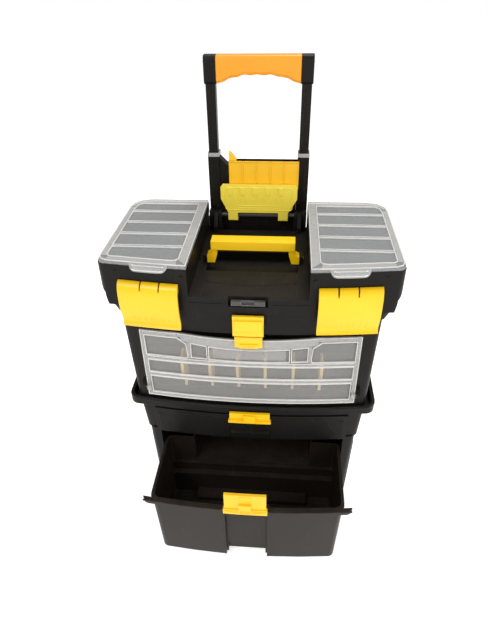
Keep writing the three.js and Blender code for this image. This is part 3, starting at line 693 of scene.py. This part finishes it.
def add_bowed_panel(bm, outline, back, front_h, place):
    """A thin panel on a bowed front: its outline is cut into upright strips so that it can curve."""
    xs = sorted({round(x, 3) for x, z in outline})
    lows = {x: min(z for a, z in outline if round(a, 3) == x) for x in xs}
    highs = {x: max(z for a, z in outline if round(a, 3) == x) for x in xs}
    columns = []
    for x in xs:
        columns.append([bm.verts.new(place(x, z, h)) for z, h in (
            (lows[x], back), (highs[x], back), (highs[x], front_h), (lows[x], front_h))])
    join_rings(bm, columns)


def strip(x0, x1, z_low, z_high, steps=14):
    """Upright columns of a strip between two curves of x, as an outline."""
    points = []
    for i in range(steps + 1):
        x = x0 + (x1 - x0) * i / steps
        points += [(x, z_low(x)), (x, z_high(x))]
    return points


bm = bmesh.new()
add_bowed_panel(bm, strip(-COVER_HALF, COVER_HALF, lambda x: COVER_LOW, cover_top, 40), -4.0, -1.8, surface)
finish_piece("front_organiser_sheet", bm, clear_sheet, "front_organiser_cover", 0)

RIB_LOW = (336.5, 343.5)
RIB_HIGH = (371.0, 378.0)
bm = bmesh.new()
foot_band = strip(-COVER_HALF, COVER_HALF, lambda x: COVER_LOW, lambda x: COVER_LOW + COVER_BORDER)
add_bowed_panel(bm, foot_band, -1.8, 0, surface)
for z0, z1 in (RIB_LOW, RIB_HIGH):
    long_rib = strip(-COVER_HALF + COVER_BORDER, COVER_HALF - COVER_BORDER, lambda x: z0, lambda x: z1)
    add_bowed_panel(bm, long_rib, -1.8, 0, surface)
for side in (-1, 1):
    xs = sorted((side * (COVER_HALF - COVER_BORDER), side * COVER_HALF))
    add_bowed_panel(bm, strip(*xs, lambda x: COVER_LOW + COVER_BORDER, cover_top, 2), -1.8, 0, surface)
    xs = sorted((side * 92, side * 97))
    add_bowed_panel(bm, strip(*xs, lambda x: RIB_HIGH[1], lambda x: 411, 2), -1.8, 0, surface)
add_bowed_panel(bm, strip(-COVER_HALF + COVER_BORDER, -106, lambda x: 420.5, cover_top, 8), -1.8, 0, surface)
add_bowed_panel(bm, strip(106, COVER_HALF - COVER_BORDER, lambda x: 420.5, cover_top, 8), -1.8, 0, surface)
middle_band = strip(-106, 106, lambda x: min(420.5, 404 + 7 * (x / 90) ** 2), cover_top, 24)
add_bowed_panel(bm, middle_band, -1.8, 0, surface)
for side in (-1, 1):
    x0, x1 = sorted((side * 165, side * 171.5))
    add_block(bm, (x0, face + 4.0, PIN_Z - 2.5), (x1, PIN_Y + 1.7, PIN_Z + 2.5))
pin = [(PIN_Y + 2.3 * math.cos(a * math.pi / 6), PIN_Z + 2.3 * math.sin(a * math.pi / 6)) for a in range(12)]
for x0, x1 in ((-173.5, -165), (165, 173.5)):
    add_prism(bm, pin, x0, x1, along_x)
finish_piece("front_organiser_frame", bm, clear_frame, "front_organiser_cover", 0)

corner_window = [(165, 380), (165, 419), (112, 418.5), (98.5, 408), (96.5, 386), (98, 380)]
small_window = [(91, 382), (91, 410), (66, 406.5), (66, 381)]
window_lines = [[(side * x, z) for x, z in window] for window in (corner_window, small_window)
                for side in (-1, 1)]
slot_top = [(-63 + 126 * i / 10, 402.5 + 3.4 * ((-63 + 12.6 * i) / 63) ** 2) for i in range(11)]
slot_foot = [(63 - 126 * i / 10, 379 + 1.5 * ((63 - 12.6 * i) / 63) ** 2) for i in range(11)]
window_lines.append(slot_top + slot_foot)
window_lines.append([(-164, 344.5), (-164, 370), (164, 370), (164, 344.5)])
window_lines.append([(-163, COVER_LOW + 8), (-163, 335.5), (163, 335.5), (163, COVER_LOW + 8)])
bm = bmesh.new()
for line in window_lines:
    add_bead(bm, divided(line, 10), 1.5, -2.2, 0.6, surface)
outer_line = [(x, z) for x, z in ((-171, COVER_LOW + 1), (-171, COVER_TOP - 1.5))]
outer_line += [(-171 + 342 * i / 48, cover_top(-171 + 342 * i / 48) - 1) for i in range(1, 48)]
outer_line += [(171, COVER_TOP - 1.5), (171, COVER_LOW + 1)]
add_bead(bm, divided(outer_line, 12), 1.3, -2.2, 0.3, surface)
for z0, z1 in (RIB_LOW, RIB_HIGH):
    for z in (z0 + 0.5, z1 - 0.5):
        add_bead(bm, divided([(-164, z), (164, z)], 12, closed=False), 1.0, -1.5, 0.5, surface, closed=False)
finish_piece("front_organiser_outlines", bm, clear_bead_painted_highlight, "front_organiser_cover", 0)

bm = bmesh.new()
add_bowed_panel(bm, strip(-57, 57, lambda x: 383, lambda x: 399 + 3 * (x / 57) ** 2), -3.6, -1.2, surface)
finish_piece("front_organiser_grip_slot", bm, clear_sheet, "front_organiser_cover", 0)

# the clip: a plate with a ribbed finger ledge
bm = cad_copy("front_organiser_clip")
low, high = reach("front_organiser_clip")
clip_line = divided(rounded_rectangle(-18.5, 18.5, low.z + 8.5, high.z - 1.5, 2), 8)
add_bead(bm, clip_line, 1.0, -0.5, 0.5, bowed(low.y + 2))
for z in (low.z + 2.2, low.z + 4.6):
    add_bead(bm, [(-9, z), (9, z)], 1.0, -0.5, 0.5, bowed(low.y), closed=False)
finish_piece("front_organiser_clip_visual", bm, yellow_plastic, "front_organiser_clip",
             1.0, 3)

# ---------------------------------------------------------------- lid
# The lid is one black moulding: a sunken centre panel with a hollow for the fingers, a
# raised pocket for an organiser tray on each side, and rounded shoulders down to the seam.

bm = cad_copy("box_lid")
low, high = reach("box_lid")
PANEL = 498.0


def on_panel(x, y, h):
    return mm(x, y, PANEL + h)


for side in (-1, 1):
    add_bead(bm, [(side * 70, -77.5), (side * 70, -33), (side * 70, -2)], 1.0, -0.8, 0.5,
             on_panel, closed=False)
    boss = rounded_rectangle(side * 95 - 3, side * 95 + 3, 526, 532, 2.9, 3)
    add_prism(bm, boss, -84.5 + 3.3, -70, along_y)
    boss = rounded_rectangle(side * 194 - 3, side * 194 + 3, 529, 535, 2.9, 3)
    add_prism(bm, boss, -70.2, -60, along_y)
cross_line = [(x, -43.5 + 10.5 * (x / 70) ** 2) for x in range(-70, 71, 7)]
add_bead(bm, cross_line, 1.0, -0.8, 0.45, on_panel, closed=False)
add_bead(bm, [(-70, 140), (70, 140)], 1.4, -0.8, 0.7, on_panel, closed=False)
add_prism(bm, rounded_rectangle(1.2, 5.4, 7.2, 11.4, 2.0, 3), PANEL - 16, PANEL - 13.6, mm)
for side in (-1, 1):
    front_line = [(side * x, 489) for x in (36, 50, 65, 86)]
    add_bead(bm, front_line, 1.2, -1, 0.6, bowed(low.y), closed=False)
finish_piece("box_lid_visual", bm, black_plastic, "box_lid", 1.4, 3)
# The lock bar is near-black; its light grey edge colour, laid on at full amount, is a painted highlight
# along the bar's edges.
bar_with_painted_edge_highlight = moulded("bar_nylon_painted_edge_highlight", (0.035, 0.035, 0.034), (0.05, 0.05, 0.048), (0.75, 0.75, 0.73), 0.25,
                      1500.0, 0.08, 0.1, 1.0)
dress("lock_bar", bar_with_painted_edge_highlight, 0.9, 3)
for side in ("left", "right"):
    dress(f"organiser_tray_{side}", black_plastic, 0.7)

# ---------------------------------------------------------------- organiser lids
# Each side tray has a clear lid hinged at the back: a milky plate with a skirt, a raised
# outline, four double ribs over the cell walls, and a curved finger tab at the front.

lid_sheet = frosted("clear_lid_sheet", (0.54, 0.565, 0.58), (0.58, 0.605, 0.62), 0.31, 0.22)
lid_frame = frosted("clear_lid_frame", (0.66, 0.655, 0.64), (0.70, 0.695, 0.68), 0.40, 0.26)
TRAY_WALLS = (-19.5, 23.5, 65.5, 108.5)
LID_TOP = 547.0
inner, outer = 87.5, 218.0


def on_lid(sign):
    """Places (x from the middle, y, height) on top of the clear lid of one side."""
    return lambda x, y, h: mm(sign * x, y, LID_TOP + h)


def front_at(x):
    """Where the front edge of a clear lid lies at x."""
    return -80.2 + BOW * x * x


def tongue(x, t):
    """Side view of the finger tab at x: it runs forward and bends down as t goes from 0 to 1."""
    narrowing = 1 - abs((x - 142) / 29.5) ** 9
    return front_at(x) + 2 - 12 * t * narrowing, LID_TOP - 0.6 - 7.5 * t * t * narrowing


for side, sign in (("left", -1), ("right", 1)):
    node = f"organiser_lid_{side}"
    low, high = reach(node)
    dress(node, lid_sheet, 0.6)
    back_y = high.y - 1.5
    lid_face = on_lid(sign)
    bm = bmesh.new()
    edge_out = [(inner + 0.6, back_y), (inner + 0.6, front_at(inner) + 1.4)]
    edge_out += [(x, front_at(x) + 1.2) for x in (110, 130, 150, 170, 190, 205)]
    edge_out += [(214, front_at(208) + 5), (outer - 0.6, front_at(210) + 14), (outer - 0.6, back_y - 34),
                 (214.5, back_y - 19), (204, back_y - 6), (184, back_y)]
    add_bead(bm, divided(edge_out, 30), 1.4, -1.2, 0.5, lid_face)
    edge_in = [(inner + 13.5, back_y - 19), (inner + 13.5, -56), (inner + 17, -61.5), (inner + 24, -62.5)]
    edge_in += [(x, front_at(x) + 13) for x in (130, 150, 170, 190)]
    edge_in += [(203, -53), (208, -48), (208.5, back_y - 40), (206, back_y - 26), (199, back_y - 19)]
    add_bead(bm, divided(edge_in, 30), 1.7, -1.2, 1.0, lid_face)
    for y in TRAY_WALLS:
        for dy in (-2.6, 2.6):
            rib = [(inner + 14.5, y + dy), (160, y + dy), (207.5, y + dy)]
            add_bead(bm, rib, 1.3, -1.2, 1.0, lid_face, closed=False)
    for t in (0.50, 0.92):
        ridge = []
        for i in range(15):
            x = 119 + 46 * i / 14
            y, z = tongue(x, t)
            ridge.append([bm.verts.new(mm(sign * x, y + dy, z + dz))
                          for dy, dz in ((-0.9, -0.6), (-0.5, 0.9), (0.5, 0.9), (0.9, -0.6))])
        join_rings(bm, ridge)
    # The lid's raised outlines and ribs take the same light bead colour, a painted highlight along their
    # edges.
    finish_piece(f"organiser_lid_outlines_{side}", bm, clear_bead_painted_highlight, node, 0)

    bm = bmesh.new()
    for y in TRAY_WALLS:
        rib = [(inner + 14, y - 2.2), (207, y - 2.2), (207, y + 2.2), (inner + 14, y + 2.2)]
        add_prism(bm, rib, -0.6, 0.5, lid_face)
    inner_margin = [(inner + 1, back_y - 1), (inner + 12.8, back_y - 1), (inner + 12.8, -60),
                    (inner + 1, -74)]
    outer_margin = [(209.2, back_y - 36), (217, back_y - 36), (217, front_at(210) + 14), (209.2, -50)]
    back_margin = [(inner + 13, back_y - 1), (186, back_y - 1), (202, back_y - 8), (206, back_y - 18),
                   (inner + 13, back_y - 18)]
    front_margin = [(inner + 14, front_at(inner) + 3), (130, front_at(130) + 2.5),
                    (160, front_at(160) + 2.5), (205, front_at(205) + 4), (206, front_at(190) + 11),
                    (160, front_at(160) + 11.5), (130, front_at(130) + 11.5), (inner + 16, -64)]
    for margin in (inner_margin, outer_margin, back_margin, front_margin):
        add_prism(bm, margin, -0.4, 0.25, lid_face)
    columns = []
    for i in range(21):
        x = 113.5 + 57 * i / 20
        upper = [tongue(x, t / 8) for t in range(9)]
        loop = [(y, z) for y, z in upper] + [(y + 0.4, z - 1.6) for y, z in reversed(upper)]
        columns.append([bm.verts.new(mm(sign * x, y, z)) for y, z in loop])
    join_rings(bm, columns)
    finish_piece(f"organiser_lid_frame_{side}", bm, lid_frame, node, 0)

# ---------------------------------------------------------------- side and centre latches
# Broad yellow latches hang from the lid and snap over the box rim. Each has two slits in
# its upper edge, a soft S-shaped face and a row of low grip bars. The middle one is narrow.


def hollow_out(piece, low, high):
    """Cuts a block-shaped slit out of a finished piece."""
    cutter_mesh = bpy.data.meshes.new("cutter")
    cutter_bm = bmesh.new()
    add_block(cutter_bm, low, high)
    bmesh.ops.recalc_face_normals(cutter_bm, faces=cutter_bm.faces)
    cutter_bm.to_mesh(cutter_mesh)
    cutter_bm.free()
    cutter = bpy.data.objects.new("cutter", cutter_mesh)
    bpy.context.scene.collection.objects.link(cutter)
    cutting = piece.modifiers.new("slit", "BOOLEAN")
    cutting.operation = "DIFFERENCE"
    cutting.object = cutter
    bpy.context.view_layer.update()
    result = bpy.data.meshes.new_from_object(piece.evaluated_get(bpy.context.evaluated_depsgraph_get()))
    piece.modifiers.clear()
    piece.data = result
    bpy.data.objects.remove(cutter)


LATCH_INNER = 100.0
LATCH_OUTER = 190.0
LATCH_FRONT = -84.5
# side view of a broad latch as (y from the front, z): down its face, round the lower lip, up its back
latch_section = [
    (1.5, 518.5), (-2.4, 518.2), (-5.8, 516.4), (-8.6, 513.0), (-10.6, 508), (-11.8, 501), (-12.3, 492),
    (-12.0, 482), (-10.8, 472), (-8.8, 463.5), (-6.6, 457), (-5.2, 452.6), (-5.4, 449.6), (-7.2, 446.4),
    (-9.4, 444.4), (-6.8, 443.4), (-4.2, 446.6), (-2.6, 451.6), (-3.2, 458), (-5.2, 466), (-6.8, 476),
    (-7.4, 486), (-7.2, 496), (-5.8, 503), (0, 507)]

for side, sign in (("left", -1), ("right", 1)):
    node = f"side_latch_{side}"
    bm = bmesh.new()
    rings = []
    for i in range(25):
        x = sign * (LATCH_INNER + (LATCH_OUTER - LATCH_INNER) * i / 24)
        rings.append([bm.verts.new(mm(x, LATCH_FRONT + y + BOW * x * x, z)) for y, z in latch_section])
    join_rings(bm, rings)
    for i in range(7):
        x = sign * (118 + 9 * i)
        face = LATCH_FRONT + BOW * x * x
        add_prism(bm, [(x - 1.3, 456), (x + 1.3, 456), (x + 1.3, 470), (x - 1.3, 470)], 0, 1,
                  lambda a, b, h, face=face: mm(a, face - 7.0 - (b - 456) * 0.17 - h * 0.9, b))
    piece = finish_piece(f"{node}_visual", bm, yellow_plastic, node, 1.0, 3, 50)
    for x in (127.5, 155.5):
        face = LATCH_FRONT + BOW * x * x
        hollow_out(piece, (sign * x - 1.2, face - 15, 508.5), (sign * x + 1.2, face + 2, 521))

bm = cad_copy("centre_latch")
low, high = reach("centre_latch")
step_line = divided([(-21, low.z + 14), (21, low.z + 14)], 8, closed=False)
add_bead(bm, step_line, 1.2, -0.5, 0.6, bowed(low.y + 3), closed=False)
add_bead(bm, divided(rounded_rectangle(-20.5, 20.5, low.z + 16.5, high.z - 8, 2), 8), 1.0, -0.5, 0.5,
         bowed(low.y + 3))
finish_piece("centre_latch_visual", bm, yellow_plastic, "centre_latch", 1.2, 3)

# ---------------------------------------------------------------- carry handle
# A yellow bail stands in the middle of the lid and folds forward into its hollow. Its bar
# is a rounded box section with a shallow ridge along the top, and its feet spread outwards.

bail_plastic = moulded("bail_polypropylene", (0.98, 0.62, 0.003), (0.94, 0.57, 0.003), (0.98, 0.72, 0.05),
                       0.36, 1200.0, 0.07, 0.0, 0.3)
low, high = reach("carry_handle")
bm = bmesh.new()
add_block(bm, (-66, low.y, high.z - 15), (66, high.y, high.z))
add_block(bm, (-58, low.y + 6, high.z - 1), (58, high.y - 6, high.z + 0.5))
for side in (-1, 1):
    front_view = [(66, high.z - 5), (66, 513), (75, 509), (75, low.z), (61, low.z), (57, 511),
                  (55, high.z - 11)]
    add_prism(bm, [(side * x, z) for x, z in front_view], low.y + 3, high.y - 3, along_y)
    pivot = rounded_rectangle(33.2, 37.8, 501.7, 506.3, 2.2, 3)
    add_prism(bm, pivot, side * 66, side * 80, along_x)
finish_piece("carry_handle_visual", bm, bail_plastic, "carry_handle", 2.4, 4)

# ---------------------------------------------------------------- hook plate
# A yellow plate hinged on the rod by two legs. It leans on the catch block and ties the box to the handle
# frame. A plain ribbed panel is moulded on its face.

# The plate is drawn in a paler yellow than the other yellow parts: painted light for its face, which tilts
# up into the light.
yellow_with_painted_light = moulded("yellow_acetal_with_painted_light", (0.97, 0.80, 0.085), (0.93, 0.75, 0.07), (0.97, 0.86, 0.25),
                      0.34, 1200.0, 0.07, 0.0, 0.3)
bm = cad_copy("hook_plate")
PLATE_FACE = 152.5


def on_plate(x, z, h):
    return mm(x, PLATE_FACE - h, z)


add_bead(bm, rounded_rectangle(-56, 60, 533, 573, 5), 1.6, -0.5, 0.7, on_plate)
for z in (537, 541):
    add_bead(bm, [(-34, z), (38, z)], 1.2, -0.5, 0.6, on_plate, closed=False)
for i in range(9):
    x = -40 + 10.5 * i
    add_bead(bm, [(x, 548), (x, 556)], 2.4, -0.5, 0.6, on_plate, closed=False)
finish_piece("hook_plate_visual", bm, yellow_with_painted_light, "hook_plate", 0.9, 3)
